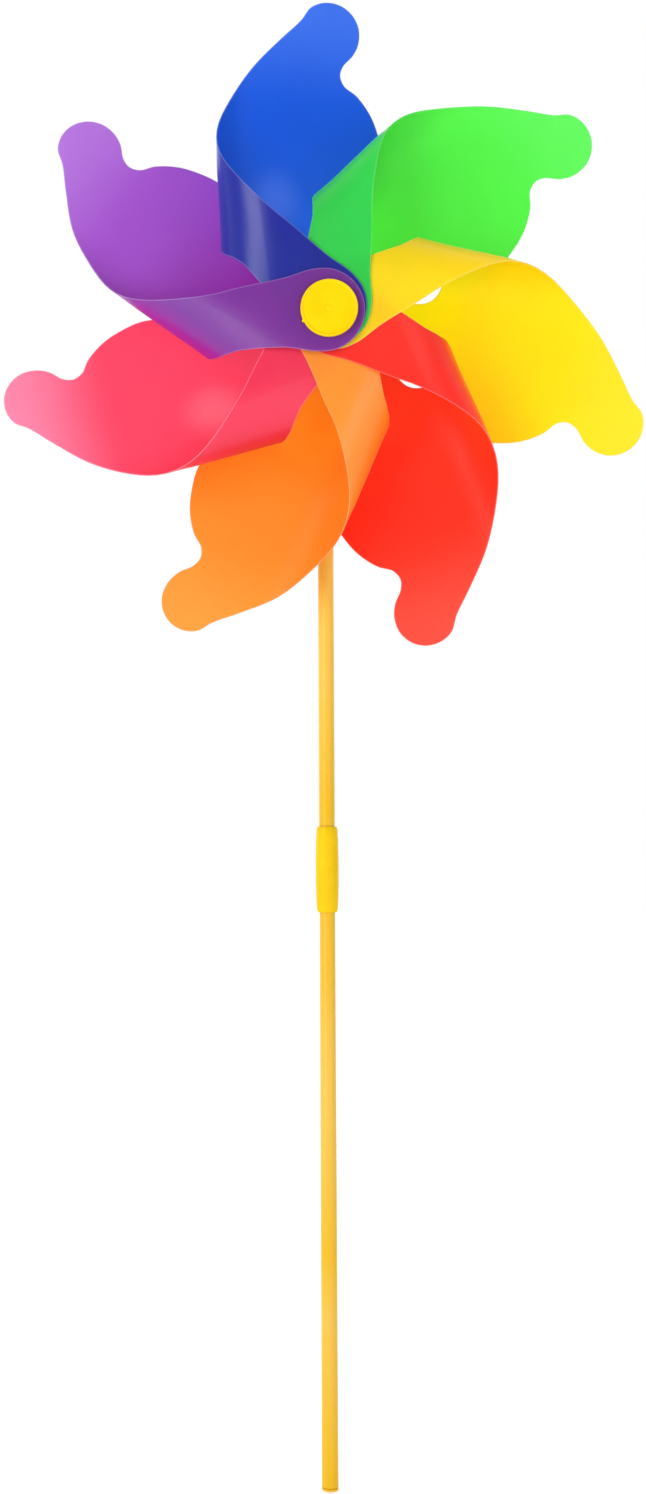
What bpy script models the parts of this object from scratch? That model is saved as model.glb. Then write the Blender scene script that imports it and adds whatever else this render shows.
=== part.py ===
"""Wind spinner: seven rolled plastic blades on a spinning hub, carried by a two-section pole.

Metres, +Z up. The origin is on the pole's axis at its foot. The wheel faces -Y and spins about an
axle along Y. Depths below are measured along +Y from the middle of the frontmost blade's sheet.
"""

import math

import bmesh
import bpy
import numpy as np

MM = 0.001

# Gaps between pieces
SEAT_GAP = 0.3 * MM  # between faces that rest on each other
RUNNING_GAP = 0.4 * MM  # round the axle and in the blades' holes

# Wheel
BLADE_REACH = 189 * MM  # hub axis to the tip of a blade
SHEET = 0.5 * MM  # blade sheet thickness
HUB_DEPTH = 54 * MM  # front hole to rear hole of one rolled blade
WING_LEAN = math.radians(11)  # how far the wing's plane leans back from the tab's
SPIGOT_RADIUS = 4.5 * MM  # hollow spigots that carry the blades' holes

# Front cap, spacer and collar
CAP_RADIUS = 15.6 * MM
CAP_THICKNESS = 3.2 * MM
CAP_EDGE = 1.1 * MM  # rounding of the cap's rim
CAP_SPIGOT = 20 * MM
GATE_NUB_RADIUS = 0.9 * MM
GATE_NUB_ANGLE = math.radians(206)  # seen from the front, anticlockwise from +X
SPACER_RADIUS = 8 * MM
COLLAR_RADIUS = 15 * MM
COLLAR_THICKNESS = 3 * MM
COLLAR_SPIGOT = 18 * MM

# Axle and what is threaded on it
AXLE_RADIUS = 2 * MM
AXLE_HEAD_RADIUS = 4.2 * MM
AXLE_HEAD_THICKNESS = 2 * MM
AXLE_TIP_SETBACK = 6 * MM  # axle tip behind the frontmost blade
WASHER_THICKNESS = 0.8 * MM
CLIP_THICKNESS = 1.6 * MM
BEAD_RADIUS = 4.2 * MM

# Pole
AXLE_HEIGHT = 665 * MM
WHEEL_TO_POLE = 4 * MM  # free space between the turning wings and the pole
UPPER_POLE_RADIUS = 4.55 * MM
LOWER_POLE_TOP_RADIUS = 4.45 * MM
LOWER_POLE_FOOT_RADIUS = 4.85 * MM
POLE_WALL = 1.2 * MM
HEAD_RADIUS = 6.6 * MM
HEAD_BELOW_AXLE = 24 * MM
HEAD_ABOVE_AXLE = 8.5 * MM
HEAD_SOCKET = 16 * MM
BOSS_RADIUS = 5 * MM
BOSS_LENGTH = 1.4 * MM
JOINT_HEIGHT = 357.4 * MM
SLEEVE_LENGTH = 49.5 * MM
SLEEVE_WALL = 1.2 * MM  # round the thicker of the two tubes
SLEEVE_SWELL = 0.6 * MM  # how far the middle band stands out from the ends
SLEEVE_BAND = 16 * MM  # straight band round the sleeve's middle
SLEEVE_LIP = 1.2 * MM
SLEEVE_WEB = 2 * MM  # stop between the two pole ends
FOOT_FLANGE = 1.5 * MM
FOOT_SPIGOT = 12 * MM

# Blades from the front of the stack to the back: name, colour, seat angle in degrees. A seat angle
# is how far the blade sits, clockwise from the front, off its even seventh of the circle.
BLADES = (
    ("blade_violet", (0.38, 0.09, 0.58), -2.2),
    ("blade_blue", (0.02, 0.11, 0.66), -0.7),
    ("blade_green", (0.10, 0.87, 0.08), -1.0),
    ("blade_yellow", (0.98, 0.75, 0.01), 3.9),
    ("blade_red", (1.00, 0.04, 0.02), 5.0),
    ("blade_orange", (1.00, 0.28, 0.03), -0.5),
    ("blade_pink", (1.00, 0.08, 0.16), -1.1),
)
TOP_BLADE = 1  # the blade that stands upright at rest

POLE_YELLOW = (0.93, 0.56, 0.04)
CAP_YELLOW = (0.96, 0.72, 0.01)

# Blade outline, as shares of the blade's reach: across the roll, then up. Front points are measured
# from the front hole, fold points from the fold line and rear points from the rear hole.
TAB_CENTRE = (0.012, 0.013)
TAB_RADIUS = 0.121
REAR_TAB_RADIUS = 0.113
LOBE_CENTRE = (0.025, 0.905)
LOBE_RADIUS = 1 - LOBE_CENTRE[1]
FOLD_REACH = 0.305  # hub axis to the outside of the roll
INNER_FRONT = ((0.163, 0.037), (0.212, 0.101), (0.262, 0.154))
EYE_ARCH = ((0.0, 0.212), (0.106, 0.257), (0.165, 0.266), (0.211, 0.246), (0.234, 0.203))
TRAILING_EDGE = (
    (0.082, 0.1),
    (0.047, 0.18),
    (0.03, 0.245),
    (0.028, 0.3),
    (0.052, 0.345),
    (0.115, 0.39),
    (0.168, 0.453),
    (0.185, 0.528),
    (0.172, 0.603),
    (0.148, 0.664),
    (0.108, 0.718),
    (0.070, 0.747),
    (0.058, 0.778),
    (0.068, 0.808),
    (0.100, 0.843),
)
LEADING_REAR = ((-0.061, 0.942), (-0.123, 0.884), (-0.212, 0.793))
LEADING_FOLD = ((0.065, 0.640), (-0.066, 0.467))
LEADING_FRONT = ((0.165, 0.301), (0.1, 0.245), (0.002, 0.157))
LEAN_FROM = 0.225  # height where the wing starts to lean back
LEAN_TO = 0.48  # height where it leans fully
OUTLINE_STEPS = 2  # straight pieces between two outline points
ROLL_CUTS = 13
LEAN_CUTS = 6

# Worked out from the sizes above
BLADE_COUNT = len(BLADES)
PITCH = SHEET + SEAT_GAP
STACK = (BLADE_COUNT - 1) * PITCH
HOLE_RADIUS = SPIGOT_RADIUS + RUNNING_GAP
BORE_RADIUS = AXLE_RADIUS + RUNNING_GAP
ROLL_RADIUS = HUB_DEPTH / 2
ROLL_START = FOLD_REACH * BLADE_REACH - ROLL_RADIUS
HOLE_TO_FOLD = ROLL_START + ROLL_RADIUS * math.pi / 2
CAP_BACK = -SHEET / 2 - SEAT_GAP
CAP_FRONT = CAP_BACK - CAP_THICKNESS
SPACER_FRONT = STACK + SHEET / 2 + SEAT_GAP
SPACER_BACK = HUB_DEPTH - SHEET / 2 - SEAT_GAP
COLLAR_FRONT = HUB_DEPTH + STACK + SHEET / 2 + SEAT_GAP
COLLAR_BACK = COLLAR_FRONT + COLLAR_THICKNESS
WING_WIDTH = max(across for across, up in TRAILING_EDGE) * BLADE_REACH
WHEEL_BACK = HUB_DEPTH + STACK + WING_WIDTH * math.tan(WING_LEAN) + SHEET
POLE_DEPTH = WHEEL_BACK + WHEEL_TO_POLE + HEAD_RADIUS
SLEEVE_SOCKET_RADIUS = max(UPPER_POLE_RADIUS, LOWER_POLE_TOP_RADIUS) + SEAT_GAP
SLEEVE_END_RADIUS = SLEEVE_SOCKET_RADIUS + SLEEVE_WALL
SLEEVE_MIDDLE_RADIUS = SLEEVE_END_RADIUS + SLEEVE_SWELL
UPPER_BORE_RADIUS = UPPER_POLE_RADIUS - POLE_WALL
LOWER_BORE_RADIUS = LOWER_POLE_TOP_RADIUS - POLE_WALL
UPPER_POLE_TOP = AXLE_HEIGHT - HEAD_BELOW_AXLE + HEAD_SOCKET - SEAT_GAP
UPPER_POLE_FOOT = JOINT_HEIGHT + SLEEVE_WEB / 2 + SEAT_GAP
LOWER_POLE_TOP = JOINT_HEIGHT - SLEEVE_WEB / 2 - SEAT_GAP
LOWER_POLE_FOOT = FOOT_FLANGE + SEAT_GAP


def clear_scene():
    """Empties the scene."""
    for obj in list(bpy.data.objects):
        bpy.data.objects.remove(obj, do_unlink=True)


def finish(name, colour, roughness, metallic=0.0):
    """A Principled material."""
    material = bpy.data.materials.new(name)
    material.use_nodes = True
    shader = material.node_tree.nodes["Principled BSDF"]
    shader.inputs["Base Color"].default_value = (*colour, 1.0)
    shader.inputs["Roughness"].default_value = roughness
    shader.inputs["Metallic"].default_value = metallic
    return material


def add_empty(name, location):
    """An empty that marks a joint's axis."""
    empty = bpy.data.objects.new(name, None)
    empty.location = location
    bpy.context.scene.collection.objects.link(empty)
    return empty


def add_object(name, mesh, material, parent=None, location=(0, 0, 0), rotation=(0, 0, 0)):
    """Links a mesh as a named object."""
    obj = bpy.data.objects.new(name, mesh)
    obj.location = location
    obj.rotation_euler = rotation
    obj.parent = parent
    if material is not None and not mesh.materials:
        mesh.materials.append(material)
    bpy.context.scene.collection.objects.link(obj)
    return obj


def add_boolean(obj, operation, tool):
    """Joins or cuts a piece with a tool body."""
    modifier = obj.modifiers.new(operation.lower(), "BOOLEAN")
    modifier.operation = operation
    modifier.solver = "EXACT"
    modifier.object = tool


def turned_mesh(name, profile, segments, closed):
    """A body turned about local Z from (radius, height) points. A closed profile makes a ring with a
    bore, and an open one starts and ends on the axis."""
    bm = bmesh.new()
    verts = [bm.verts.new((radius, 0, height)) for radius, height in profile]
    edges = [bm.edges.new(pair) for pair in zip(verts, verts[1:])]
    if closed:
        edges.append(bm.edges.new((verts[-1], verts[0])))
    bmesh.ops.spin(
        bm,
        geom=verts + edges,
        cent=(0, 0, 0),
        axis=(0, 0, 1),
        angle=2 * math.pi,
        steps=segments,
        use_merge=True,
    )
    bmesh.ops.remove_doubles(bm, verts=bm.verts, dist=0.00001)
    bmesh.ops.recalc_face_normals(bm, faces=bm.faces)
    mesh = bpy.data.meshes.new(name)
    bm.to_mesh(mesh)
    bm.free()
    mesh.shade_smooth()
    mesh.set_sharp_from_angle(angle=math.radians(35))
    return mesh


def ring_mesh(name, inner, outer, start, end, segments):
    """A plain ring or tube between two heights."""
    profile = [(outer, start), (outer, end), (inner, end), (inner, start)]
    return turned_mesh(name, profile, segments, closed=True)


def tool_body(obj):
    """Marks a cutter or a joining body, which isn't a piece of the object."""
    obj.hide_render = True
    obj.display_type = "WIRE"
    return obj


def arc_points(centre, radius, start, end, count):
    """Points on an arc, angles in degrees."""
    angles = np.radians(np.linspace(start, end, count))
    return [(centre[0] + radius * math.cos(a), centre[1] + radius * math.sin(a)) for a in angles]


def through(points, steps):
    """A closed smooth curve through the points: centripetal Catmull-Rom."""
    knots = np.array(points)
    curve = []
    for i in range(len(knots)):
        p0, p1, p2, p3 = (knots[(i + k) % len(knots)] for k in (-1, 0, 1, 2))
        t1 = np.linalg.norm(p1 - p0) ** 0.5
        t2 = t1 + np.linalg.norm(p2 - p1) ** 0.5
        t3 = t2 + np.linalg.norm(p3 - p2) ** 0.5
        for t in np.linspace(t1, t2, steps, endpoint=False):
            a1 = (t1 - t) / t1 * p0 + t / t1 * p1
            a2 = (t2 - t) / (t2 - t1) * p1 + (t - t1) / (t2 - t1) * p2
            a3 = (t3 - t) / (t3 - t2) * p2 + (t - t2) / (t3 - t2) * p3
            b1 = (t2 - t) / t2 * a1 + t / t2 * a2
            b2 = (t3 - t) / (t3 - t1) * a2 + (t - t1) / (t3 - t1) * a3
            curve.append((t2 - t) / (t2 - t1) * b1 + (t - t1) / (t2 - t1) * b2)
    return curve


def blade_outline():
    """The flat blade's outline in metres, across from the fold line and up from the holes."""

    def from_front(points):
        return [(x * BLADE_REACH - HOLE_TO_FOLD, y * BLADE_REACH) for x, y in points]

    def from_fold(points):
        return [(x * BLADE_REACH, y * BLADE_REACH) for x, y in points]

    def from_rear(points):
        return [(x * BLADE_REACH + HOLE_TO_FOLD, y * BLADE_REACH) for x, y in points]

    knots = from_front(arc_points(TAB_CENTRE, TAB_RADIUS, 130, 330, 8))
    knots += from_front(INNER_FRONT)
    knots += from_fold(EYE_ARCH)
    knots += from_rear(arc_points((0, 0), REAR_TAB_RADIUS, 176, 368, 8))
    knots += from_rear(TRAILING_EDGE)
    knots += from_rear(arc_points(LOBE_CENTRE, LOBE_RADIUS, -15, 125, 6))
    knots += from_rear(LEADING_REAR)
    knots += from_fold(LEADING_FOLD)
    knots += from_front(LEADING_FRONT)
    return through(knots, OUTLINE_STEPS)


def bend(u, v):
    """Rolls a point of the flat blade: a flat front arm, a round roll with upright rulings, and a
    rear wing whose plane leans back by an angle that grows with height. The hole-to-hole length
    along the sheet and the depth at the hub stay the same at every height."""
    share = (v / BLADE_REACH - LEAN_FROM) / (LEAN_TO - LEAN_FROM)
    share = min(max(share, 0.0), 1.0)
    lean = WING_LEAN * share * share * (3 - 2 * share)
    slope = math.tan(lean)
    factor = 1 + 1 / math.cos(lean)
    rows = ((factor, slope), (math.pi - lean + slope, factor))
    radius, flat = np.linalg.solve(rows, (HUB_DEPTH, 2 * HOLE_TO_FOLD))
    along = u + HOLE_TO_FOLD
    if along < flat:
        return -along, v, 0.0
    turn = (along - flat) / radius
    if turn < math.pi - lean:
        return -flat - radius * math.sin(turn), v, radius * (1 - math.cos(turn))
    rest = along - flat - radius * (math.pi - lean)
    x = -flat - radius * math.sin(lean) + rest * math.cos(lean)
    return x, v, radius * (1 + math.cos(lean)) + rest * math.sin(lean)


def blade_mesh():
    """The middle surface of one rolled blade, hub axis along Y, facing -Y."""
    bm = bmesh.new()
    bm.faces.new([bm.verts.new((u, v, 0)) for u, v in blade_outline()])
    half_roll = ROLL_RADIUS * math.pi / 2
    cuts = [((u, 0, 0), (1, 0, 0)) for u in np.linspace(-half_roll, half_roll, ROLL_CUTS)]
    heights = np.linspace(LEAN_FROM, LEAN_TO, LEAN_CUTS) * BLADE_REACH
    cuts += [((0, v, 0), (0, 1, 0)) for v in heights]
    for point, normal in cuts:
        bmesh.ops.bisect_plane(
            bm,
            geom=bm.verts[:] + bm.edges[:] + bm.faces[:],
            plane_co=point,
            plane_no=normal,
            dist=0.00001,
        )
    bmesh.ops.triangulate(bm, faces=bm.faces[:])
    for vert in bm.verts:
        x, y, depth = bend(vert.co.x, vert.co.y)
        vert.co = (x, depth, y)
    mesh = bpy.data.meshes.new("blade")
    bm.to_mesh(mesh)
    bm.free()
    mesh.shade_smooth()
    return mesh


def add_blades(wheel):
    """Seven alike blades, each turned a seventh and one sheet behind the one before."""
    rim = ring_mesh("hub_hole", 0, HOLE_RADIUS, CAP_FRONT, COLLAR_BACK, 24)
    hole = tool_body(add_object("hub_hole", rim, None, wheel, rotation=(-math.pi / 2, 0, 0)))
    master = blade_mesh()
    for place, (name, colour, seat) in enumerate(BLADES):
        turn = math.radians(360 / BLADE_COUNT * (place - TOP_BLADE) + seat)
        mesh = master.copy()
        mesh.materials.append(finish(name, colour, 0.35))
        blade = add_object(name, mesh, None, wheel, (0, place * PITCH, 0), (0, turn, 0))
        wall = blade.modifiers.new("sheet", "SOLIDIFY")
        wall.thickness = SHEET
        wall.offset = 0
        wall.use_even_offset = True
        add_boolean(blade, "DIFFERENCE", hole)


def add_turned_along_axle(name, profile, segments, closed, material, parent, depth=0.0):
    """A turned piece whose heights are depths behind its own place on the axle."""
    mesh = turned_mesh(name, profile, segments, closed)
    return add_object(name, mesh, material, parent, (0, depth, 0), (-math.pi / 2, 0, 0))


def add_front_cap(wheel):
    """The round cap, with a hollow spigot that carries the blades and turns on the axle's tip."""
    edge = arc_points((CAP_RADIUS - CAP_EDGE, CAP_FRONT + CAP_EDGE), CAP_EDGE, -90, 0, 4)
    profile = [(0, CAP_FRONT)]
    profile += edge
    profile += [(CAP_RADIUS, CAP_BACK), (SPIGOT_RADIUS, CAP_BACK), (SPIGOT_RADIUS, CAP_SPIGOT)]
    profile += [(BORE_RADIUS, CAP_SPIGOT), (BORE_RADIUS, AXLE_TIP_SETBACK - RUNNING_GAP)]
    profile += [(0, AXLE_TIP_SETBACK - RUNNING_GAP)]
    material = finish("cap_yellow", CAP_YELLOW, 0.3)
    cap = add_turned_along_axle("front_cap", profile, 48, False, material, wheel)
    nub = turned_mesh("gate_nub", arc_points((0, 0), GATE_NUB_RADIUS, -90, 90, 5), 10, False)
    place = (
        CAP_RADIUS * math.cos(GATE_NUB_ANGLE),
        CAP_BACK - CAP_THICKNESS / 2,
        CAP_RADIUS * math.sin(GATE_NUB_ANGLE),
    )
    add_boolean(cap, "UNION", tool_body(add_object("gate_nub", nub, material, wheel, place)))


def add_hub(wheel):
    """The spacer between the front and rear tabs, and the collar behind the rear tabs."""
    material = finish("hub_yellow", CAP_YELLOW, 0.35)
    bore = SPIGOT_RADIUS + SEAT_GAP
    spacer = ring_mesh("hub_spacer", bore, SPACER_RADIUS, SPACER_FRONT, SPACER_BACK, 32)
    add_object("hub_spacer", spacer, material, wheel, rotation=(-math.pi / 2, 0, 0))
    spigot_front = SPACER_BACK - COLLAR_SPIGOT
    profile = [(BORE_RADIUS, spigot_front), (SPIGOT_RADIUS, spigot_front)]
    profile += [(SPIGOT_RADIUS, COLLAR_FRONT), (COLLAR_RADIUS, COLLAR_FRONT)]
    profile += [(COLLAR_RADIUS, COLLAR_BACK - CAP_EDGE), (COLLAR_RADIUS - CAP_EDGE, COLLAR_BACK)]
    profile += [(BORE_RADIUS, COLLAR_BACK)]
    add_turned_along_axle("rear_collar", profile, 40, True, material, wheel)


def add_axle(axle):
    """The fixed axle pin, with its clip and thrust washer inside the spacer, and the washer and bead
    between the wheel and the pole head."""
    steel = finish("axle_steel", (0.62, 0.62, 0.60), 0.3, 1.0)
    head_front = POLE_DEPTH + HEAD_RADIUS + SEAT_GAP
    head_back = head_front + AXLE_HEAD_THICKNESS
    profile = [(0, AXLE_TIP_SETBACK), (AXLE_RADIUS, AXLE_TIP_SETBACK), (AXLE_RADIUS, head_front)]
    profile += [(AXLE_HEAD_RADIUS, head_front), (AXLE_HEAD_RADIUS, head_back - SEAT_GAP)]
    profile += [(AXLE_HEAD_RADIUS - 2 * SEAT_GAP, head_back), (0, head_back)]
    add_turned_along_axle("axle_pin", profile, 24, False, steel, axle)
    bore = AXLE_RADIUS + SEAT_GAP
    washer_back = SPACER_BACK - COLLAR_SPIGOT - SEAT_GAP
    washer_front = washer_back - WASHER_THICKNESS
    clip_back = washer_front - SEAT_GAP
    inside = SPIGOT_RADIUS - RUNNING_GAP
    nylon = finish("washer_nylon", (0.8, 0.8, 0.78), 0.4)
    collar_washer = COLLAR_BACK + SEAT_GAP
    bead_front = collar_washer + WASHER_THICKNESS + SEAT_GAP
    bead_back = POLE_DEPTH - HEAD_RADIUS - BOSS_LENGTH - SEAT_GAP
    rings = (
        ("thrust_washer", inside, washer_front, washer_back, nylon),
        ("retaining_clip", inside, clip_back - CLIP_THICKNESS, clip_back, steel),
        ("rear_washer", BEAD_RADIUS, collar_washer, collar_washer + WASHER_THICKNESS, nylon),
    )
    for name, outer, front, back, material in rings:
        mesh = ring_mesh(name, bore, outer, front, back, 24)
        add_object(name, mesh, material, axle, rotation=(-math.pi / 2, 0, 0))
    yellow = finish("bead_yellow", CAP_YELLOW, 0.35)
    middle = (bead_front + bead_back) / 2
    profile = [(bore, bead_front), (BEAD_RADIUS - RUNNING_GAP, bead_front), (BEAD_RADIUS, middle)]
    profile += [(BEAD_RADIUS - RUNNING_GAP, bead_back), (bore, bead_back)]
    add_turned_along_axle("spacer_bead", profile, 24, True, yellow, axle)


def add_pole_head(material):
    """The fitting on top of the pole: a socket for the tube, and a bored boss for the axle."""
    foot = AXLE_HEIGHT - HEAD_BELOW_AXLE
    top = AXLE_HEIGHT + HEAD_ABOVE_AXLE
    socket = UPPER_POLE_RADIUS + SEAT_GAP
    edge = 2 * MM
    profile = [(0, foot + HEAD_SOCKET), (socket, foot + HEAD_SOCKET), (socket, foot)]
    profile += [(HEAD_RADIUS, foot), (HEAD_RADIUS, top - edge)]
    profile += arc_points((HEAD_RADIUS - edge, top - edge), edge, 30, 90, 3)
    profile += [(0, top)]
    mesh = turned_mesh("pole_head", profile, 40, closed=False)
    head = add_object("pole_head", mesh, material)
    front = HEAD_RADIUS + BOSS_LENGTH
    axis = (0, 0, AXLE_HEIGHT)
    facing = (math.pi / 2, 0, 0)
    boss = turned_mesh("boss", [(0, 0), (BOSS_RADIUS, 0), (BOSS_RADIUS, front), (0, front)], 32, False)
    bore = AXLE_RADIUS + SEAT_GAP
    ends = 2 * HEAD_RADIUS
    hole = turned_mesh("bore", [(0, -ends), (bore, -ends), (bore, ends), (0, ends)], 24, False)
    add_boolean(head, "UNION", tool_body(add_object("boss", boss, material, None, axis, facing)))
    add_boolean(head, "DIFFERENCE", tool_body(add_object("bore", hole, material, None, axis, facing)))


def add_pole(material):
    """The two tubes, the sleeve that joins them and the plug in the foot."""
    upper = ring_mesh(
        "upper_pole", UPPER_BORE_RADIUS, UPPER_POLE_RADIUS, UPPER_POLE_FOOT, UPPER_POLE_TOP, 32
    )
    add_object("upper_pole", upper, material)
    profile = [(LOWER_POLE_FOOT_RADIUS, LOWER_POLE_FOOT), (LOWER_POLE_TOP_RADIUS, LOWER_POLE_TOP)]
    profile += [(LOWER_BORE_RADIUS, LOWER_POLE_TOP), (LOWER_BORE_RADIUS, LOWER_POLE_FOOT)]
    add_object("lower_pole", turned_mesh("lower_pole", profile, 32, closed=True), material)
    plug = LOWER_BORE_RADIUS - SEAT_GAP
    profile = [(0, 0), (LOWER_POLE_FOOT_RADIUS, 0), (LOWER_POLE_FOOT_RADIUS, FOOT_FLANGE)]
    profile += [(plug, FOOT_FLANGE), (plug, FOOT_SPIGOT), (0, FOOT_SPIGOT)]
    add_object("foot_plug", turned_mesh("foot_plug", profile, 32, closed=False), material)


def add_joint_sleeve(material):
    """The barrel-shaped sleeve with a socket at each end and a stop web with a vent between them."""
    socket = SLEEVE_SOCKET_RADIUS
    vent = LOWER_BORE_RADIUS
    half = SLEEVE_LENGTH / 2
    lip = SLEEVE_END_RADIUS - SEAT_GAP
    upper_side = [(vent, 0), (vent, SLEEVE_WEB / 2), (socket, SLEEVE_WEB / 2), (socket, half)]
    upper_side += [(lip, half), (lip, half - SLEEVE_LIP), (SLEEVE_END_RADIUS, half - SLEEVE_LIP)]
    upper_side += [(SLEEVE_MIDDLE_RADIUS, SLEEVE_BAND / 2)]
    lower_side = [(radius, -height) for radius, height in reversed(upper_side[1:])]
    mesh = turned_mesh("joint_sleeve", upper_side + lower_side, 40, closed=True)
    return add_object("joint_sleeve", mesh, material, location=(0, 0, JOINT_HEIGHT))


def main():
    clear_scene()
    wheel = add_empty("wheel_axis", (0, -POLE_DEPTH, AXLE_HEIGHT))
    axle = add_empty("axle_place", (0, -POLE_DEPTH, AXLE_HEIGHT))
    add_blades(wheel)
    add_front_cap(wheel)
    add_hub(wheel)
    add_axle(axle)
    pole = finish("pole_yellow", POLE_YELLOW, 0.3)
    add_pole_head(pole)
    add_pole(pole)
    add_joint_sleeve(pole)


main()
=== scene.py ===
"""Wind spinner: seven rolled plastic blades on a spinning hub, carried by a two-section pole.

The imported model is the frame: metres, +Z up, the pole's foot at the origin, the wheel facing -Y.
"""

import math

import bmesh
import bpy
import numpy as np
from bpy.props import FloatProperty, FloatVectorProperty, IntProperty, PointerProperty
from bpy.types import Operator, Panel, PropertyGroup
from mathutils import Matrix, Vector


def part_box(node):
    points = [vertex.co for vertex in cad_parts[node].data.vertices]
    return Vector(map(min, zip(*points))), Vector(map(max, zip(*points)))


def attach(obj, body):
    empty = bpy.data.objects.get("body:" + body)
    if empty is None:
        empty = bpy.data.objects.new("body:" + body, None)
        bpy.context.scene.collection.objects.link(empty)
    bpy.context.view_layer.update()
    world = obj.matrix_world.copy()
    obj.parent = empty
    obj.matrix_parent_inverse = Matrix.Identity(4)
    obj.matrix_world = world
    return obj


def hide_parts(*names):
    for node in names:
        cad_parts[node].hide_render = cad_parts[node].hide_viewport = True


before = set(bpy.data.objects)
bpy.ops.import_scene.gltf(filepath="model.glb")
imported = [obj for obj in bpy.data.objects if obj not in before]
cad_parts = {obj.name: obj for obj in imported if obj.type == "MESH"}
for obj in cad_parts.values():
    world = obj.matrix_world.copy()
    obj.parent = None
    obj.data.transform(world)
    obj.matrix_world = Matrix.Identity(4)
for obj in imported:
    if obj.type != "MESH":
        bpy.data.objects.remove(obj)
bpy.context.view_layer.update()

bl_info = {
    "name": "Wind Spinner",
    "version": (1, 0, 0),
    "blender": (4, 5, 0),
    "location": "3D View > Sidebar > Wind Spinner",
    "description": "Builds a seven-blade wind spinner on a pole, with its plastics and a studio",
    "category": "Object",
}

MM = 0.001

# Sizes inside the turned parts, which the frame's boxes don't give
TUBE_WALL = 1.2 * MM
SOCKET_RADIUS = 4.85 * MM  # in the sleeve and in the head
SPIGOT_RADIUS = 4.5 * MM  # of the cap and of the collar
SPIGOT_BORE = 2.4 * MM
AXLE_BORE = 2.3 * MM  # in the bead and in the head
SPACER_BORE = 4.8 * MM
SPACER_RADIUS = 8 * MM
SHARP_ANGLE = 35  # degrees between two faces from which their edge is shown sharp

# Blades from the front of the stack to the back, and how far each sits off its even seventh
BLADES = ("violet", "blue", "green", "yellow", "red", "orange", "pink")
SEAT_ANGLES = (-2.2, -0.7, -1.0, 3.9, 5.0, -0.5, -1.1)
TOP_BLADE = BLADES.index("blue")

# Blade outline, as shares of the blade's reach: across the roll, then up. Front points are measured
# from the front hole, fold points from the fold line and rear points from the rear hole.
TAB_CENTRE = (0.012, 0.013)
TAB_RADIUS = 0.121
REAR_TAB_RADIUS = 0.113
LOBE_CENTRE = (0.025, 0.905)
LOBE_RADIUS = 1 - LOBE_CENTRE[1]
FOLD_REACH = 0.305
INNER_FRONT = ((0.163, 0.037), (0.212, 0.101), (0.262, 0.154))
EYE_ARCH = ((0.0, 0.212), (0.106, 0.257), (0.165, 0.266), (0.211, 0.246), (0.234, 0.203))
EYE_LIFT = (0.0, 0.7, 1.0, 1.0, 0.5)  # how far each knot of the arch takes part in a rise
# Sheets that bend a little differently: rise of the arch behind the arm, change of the fold's reach
ODD_SHEETS = {"violet": (0.0, -0.014), "yellow": (0.03, 0.0), "orange": (0.0, -0.014)}
PLAIN_SHEET = (0.0, 0.0)
TRAILING_EDGE = (
    (0.082, 0.1),
    (0.047, 0.18),
    (0.03, 0.245),
    (0.028, 0.3),
    (0.052, 0.345),
    (0.115, 0.39),
    (0.168, 0.453),
    (0.185, 0.528),
    (0.172, 0.603),
    (0.148, 0.664),
    (0.108, 0.718),
    (0.070, 0.747),
    (0.058, 0.778),
    (0.068, 0.808),
    (0.100, 0.843),
)
LEADING_REAR = ((-0.061, 0.942), (-0.123, 0.884), (-0.212, 0.793))
LEADING_FOLD = ((0.065, 0.640), (-0.066, 0.467))
LEADING_FRONT = ((0.165, 0.301), (0.1, 0.245), (0.002, 0.157))
TAB_SPAN = (130, 330)
REAR_TAB_SPAN = (176, 368)
LOBE_SPAN = (-15, 125)
TAB_KNOTS = 8
LOBE_KNOTS = 6
LEAN_FROM = 0.225
LEAN_TO = 0.48
ROLL_EASE = 0.6  # how much the roll's bend fades in and out at its ends
ROLL_SAMPLES = 64

# Where the rungs between the blade's outer and inner rails stand: the station on the outer rail, then
# on the inner one. The outer rail starts at the front slit's knot and runs back round the outline. The
# inner rail goes round the front hole (0 to 1), out along the slit (1 to 2), along the inner edge, in
# to the rear hole (9 to 10) and round it.
RUNGS = (
    (0.0, 0.0),
    (1.0, 0.119),
    (8.0, 0.674),
    (9.0, 0.78),
    (10.0, 0.87),
    (11.0, 1.0),
    (11.25, 2.0),
    (11.45, 3.0),
    (11.75, 4.0),
    (12.2, 5.0),
    (13.0, 5.7),
    (14.0, 6.1),
    (16.0, 6.4),
    (22.0, 6.7),
    (25.0, 6.9),
    (27.0, 7.2),
    (30.0, 7.8),
    (34.0, 8.85),
    (34.3, 9.0),
    (35.2, 10.0),
    (36.0, 10.1),
    (37.0, 10.212),
    (38.0, 10.33),
    (45.0, 10.864),
    (46.0, 11.0),
)
FRONT_SLIT = 8
REAR_SLIT = 15
STEPS = 12  # of the smooth outline from one knot to the next
EDGE_SHARES = (0.006, 0.994)  # rows beside the two edges, where the cut is whitened
BOW_SPAN = (11.25, 35.2)  # outer stations of the two slits, between which the rungs bow

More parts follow.
